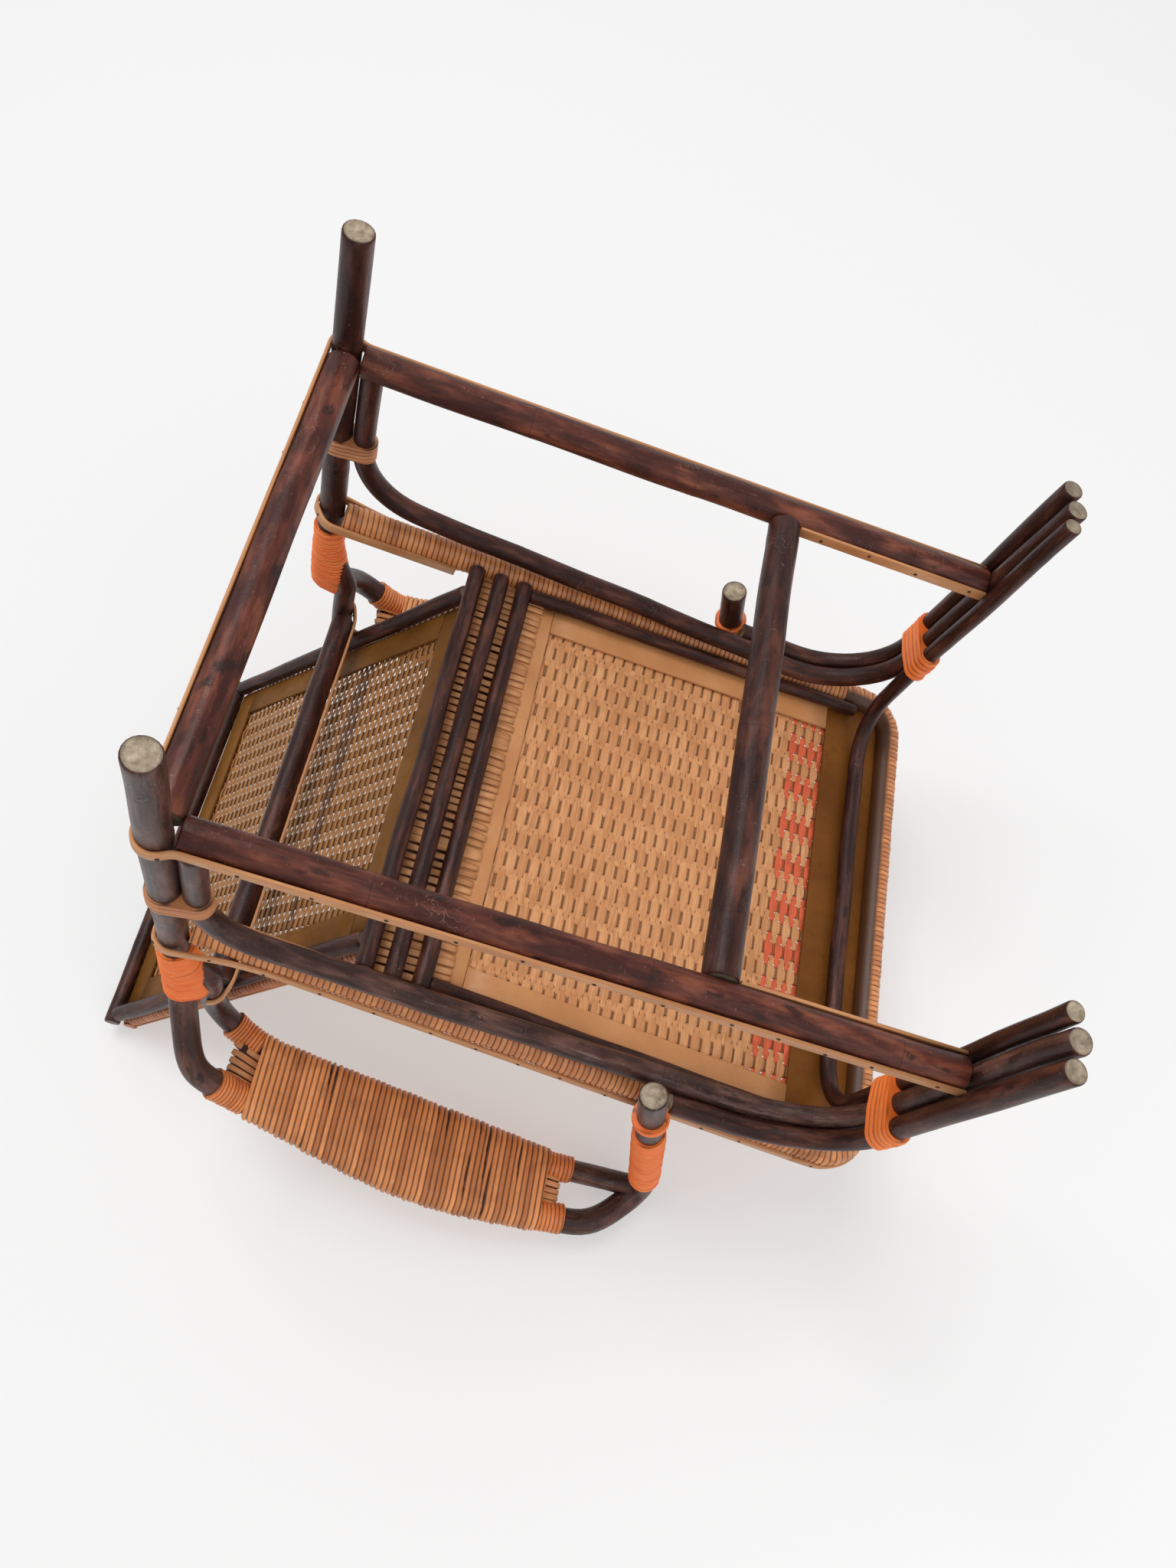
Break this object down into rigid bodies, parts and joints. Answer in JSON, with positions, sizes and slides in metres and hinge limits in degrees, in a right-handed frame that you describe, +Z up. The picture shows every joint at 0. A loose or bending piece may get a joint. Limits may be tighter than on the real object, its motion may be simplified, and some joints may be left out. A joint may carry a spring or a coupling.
{
  "type": "rattan armchair",
  "caption": "Low rattan armchair of bent lashed poles with cane-wrapped rails, wound arm pads, a woven cane seat and a reclining woven back.",
  "frame": {"origin": "on the floor below the middle of the chair's box", "axes": "+Z up, -Y the way the sitter faces, +X the sitter's left"},
  "size_m": [0.7066, 0.7296, 0.7586],
  "materials": {
    "dark_pole": "dark stained rattan, worn satin",
    "red_pole": "red-brown stained rattan, worn satin",
    "pale_strip": "varnished split cane",
    "orange_cane": "orange-dyed cane binding",
    "pad_cane": "orange-brown cane winding",
    "wrapped_cane": "pole wrapped in cane",
    "weave": "woven cane sheet"
  },
  "bodies": {
    "root": {"arm_hoop_left": "dark_pole", "arm_hoop_right": "dark_pole", "inner_arm_rail_left": "dark_pole", "inner_arm_rail_right": "dark_pole", "side_hoop_left": "dark_pole", "side_hoop_right": "dark_pole", "outer_brace_left": "dark_pole", "outer_brace_right": "dark_pole", "front_hoop": "dark_pole", "rear_stretcher": "red_pole", "side_stretcher_left": "red_pole", "side_stretcher_right": "red_pole", "middle_stretcher": "red_pole", "stretcher_strip": "pale_strip", "stretcher_inner_strip_left": "pale_strip", "stretcher_inner_strip_right": "pale_strip", "seat_front_rail": "wrapped_cane", "seat_side_rail_left": "wrapped_cane", "seat_side_rail_right": "wrapped_cane", "seat_rear_rail": "wrapped_cane", "seat_side_pole_left": "dark_pole", "seat_side_pole_right": "dark_pole", "back_bottom_bar": "dark_pole", "seat_rear_bar": "dark_pole", "seat_under_batten": "dark_pole", "seat_panel": "weave", "seat_border_rear": "pale_strip", "seat_border_front": "pale_strip", "seat_border_left": "pale_strip", "seat_border_right": "pale_strip", "seat_trim_left": "pale_strip", "seat_trim_right": "pale_strip", "seat_trim_front": "pale_strip", "back_cross_rail": "dark_pole", "cross_rail_strip": "pale_strip", "back_top_rail": "dark_pole", "back_side_pole_left": "dark_pole", "back_side_pole_right": "dark_pole", "back_front_top": "pale_strip", "back_front_pole_left": "pale_strip", "back_front_pole_right": "pale_strip", "back_panel": "weave", "back_border_left": "pale_strip", "back_border_right": "pale_strip", "back_border_bottom": "pale_strip", "back_border_top": "pale_strip", "arm_pad_left": "pad_cane", "arm_pad_right": "pad_cane", "post_wrap_left": "orange_cane", "post_wrap_right": "orange_cane", "leg_wrap_left": "orange_cane", "leg_wrap_right": "orange_cane", "drop_wrap_left": "orange_cane", "drop_wrap_right": "orange_cane", "post_tie_left": "pale_strip", "post_tie_right": "pale_strip"}
  },
  "joints": []
}
